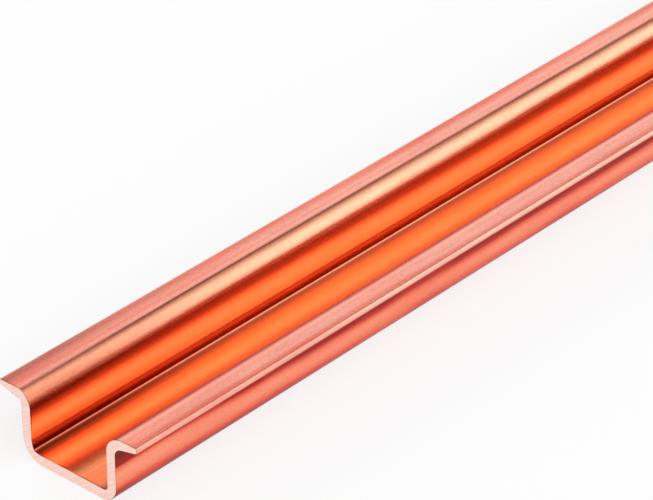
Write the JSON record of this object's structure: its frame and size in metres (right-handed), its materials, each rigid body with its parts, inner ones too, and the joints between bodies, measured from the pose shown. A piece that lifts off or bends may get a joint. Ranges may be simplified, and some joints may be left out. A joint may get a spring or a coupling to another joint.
{
  "type": "din rail",
  "caption": "Solid copper hat-section mounting rail, 35 mm wide and 15 mm deep, unperforated, one metre long.",
  "frame": {"origin": "middle of the web's flat back face, halfway along the rail", "axes": "+Y along the rail, +Z from the web's back out to the flanges, +X across the rail"},
  "size_m": [0.035, 1, 0.015],
  "materials": {
    "copper": "bright drawn copper, bare, with fine lines along the rail"
  },
  "bodies": {
    "root": {"hat_rail": "copper"}
  },
  "joints": []
}
